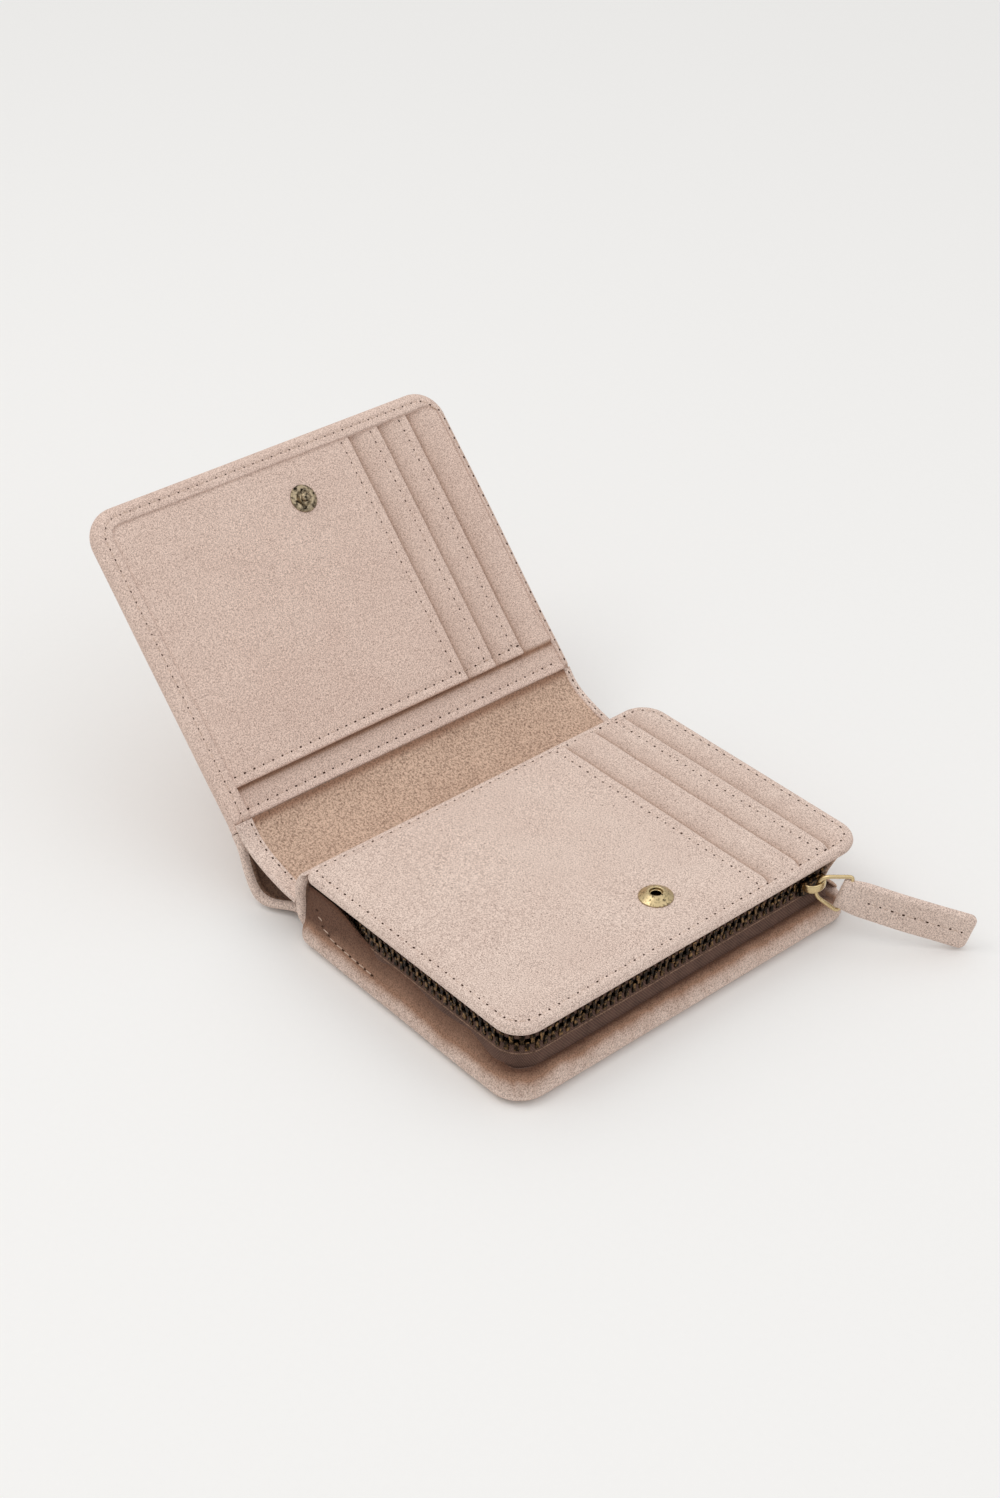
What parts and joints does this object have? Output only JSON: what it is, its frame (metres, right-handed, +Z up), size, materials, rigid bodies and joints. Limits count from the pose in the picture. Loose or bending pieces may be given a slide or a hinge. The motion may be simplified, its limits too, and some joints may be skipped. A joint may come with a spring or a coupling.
{
  "type": "bifold wallet",
  "caption": "Suede bifold wallet lying open, with stepped card pockets, a snap, and a zip-round coin pouch with a wire ring and pull tab.",
  "frame": {"origin": "on the underside of the back cover, below the middle of the pouch's lid", "axes": "+X from the spine to the pouch's free edge, +Y along the spine, +Z up from the table"},
  "size_m": [0.2308, 0.1463, 0.0988],
  "materials": {
    "outer_suede": "napped suede, dusty beige pink",
    "panel_suede": "napped suede, dusty beige pink",
    "liner_suede": "napped suede, browner",
    "pouch_lining": "plain woven lining",
    "zip_tape": "dark brown woven tape",
    "stiffener_board": "bonded fibre",
    "antique_brass": "antique, darkened in the hollows",
    "bright_brass": "polished pale gold"
  },
  "bodies": {
    "base": {"back_cover": "outer_suede", "back_stiffener": "stiffener_board", "pouch_bottom": "outer_suede", "pouch_floor_lining": "pouch_lining", "pouch_gusset": "pouch_lining", "lower_zip_tape": "zip_tape", "lower_zip_teeth": "antique_brass", "zip_top_stop_lower": "antique_brass", "zip_bottom_stop": "antique_brass"},
    "pouch_lid": {"lid_shell": "panel_suede", "lid_pocket_3": "panel_suede", "lid_pocket_2": "panel_suede", "lid_front_panel": "panel_suede", "lid_lining": "pouch_lining", "pouch_end_wall": "panel_suede", "upper_zip_tape": "zip_tape", "upper_zip_teeth": "antique_brass", "zip_top_stop_upper": "antique_brass", "snap_socket": "antique_brass", "socket_spring": "bright_brass", "socket_cap": "bright_brass"},
    "slider": {"slider_body": "antique_brass", "slider_bridge": "bright_brass"},
    "ring": {"pull_ring": "bright_brass"},
    "tab": {"pull_tab": "outer_suede"},
    "spine": {"spine_cover": "outer_suede", "spine_liner": "liner_suede"},
    "front_page": {"front_cover": "outer_suede", "front_stiffener": "stiffener_board", "front_slip_pocket": "panel_suede", "front_pocket_3": "panel_suede", "front_pocket_2": "panel_suede", "front_card_panel": "panel_suede", "stud_cap": "bright_brass", "snap_stud": "antique_brass"}
  },
  "joints": [
    {"name": "pouch_open", "type": "hinge", "parent": "base", "child": "pouch_lid", "pos_m": [-0.0522, 0, 0.0007], "axis": [0, -1, 0], "range_deg": [0, 25]},
    {"name": "spine_fold", "type": "hinge", "parent": "pouch_lid", "child": "spine", "pos_m": [-0.0522, 0, 0.0007], "axis": [0, 1, 0], "range_deg": [-42.3, 43.1]},
    {"name": "cover_fold", "type": "hinge", "parent": "spine", "child": "front_page", "pos_m": [-0.07557, 0, 0.02197], "axis": [0, 1, 0], "range_deg": [-4.7, 89.8]},
    {"name": "slider_travel", "type": "slide", "parent": "pouch_lid", "child": "slider", "axis": [0, -1, 0], "range_m": [0, 0.095]},
    {"name": "ring_swing", "type": "hinge", "parent": "slider", "child": "ring", "pos_m": [0.0483, 0.045, 0.01875], "axis": [0, 0, 1], "range_deg": [-102, 18]},
    {"name": "tab_swing", "type": "hinge", "parent": "ring", "child": "tab", "pos_m": [0.05444, 0.05053, 0.01638], "axis": [0.2048, 0.1844, 0.9613], "range_deg": [-30, 30]}
  ]
}
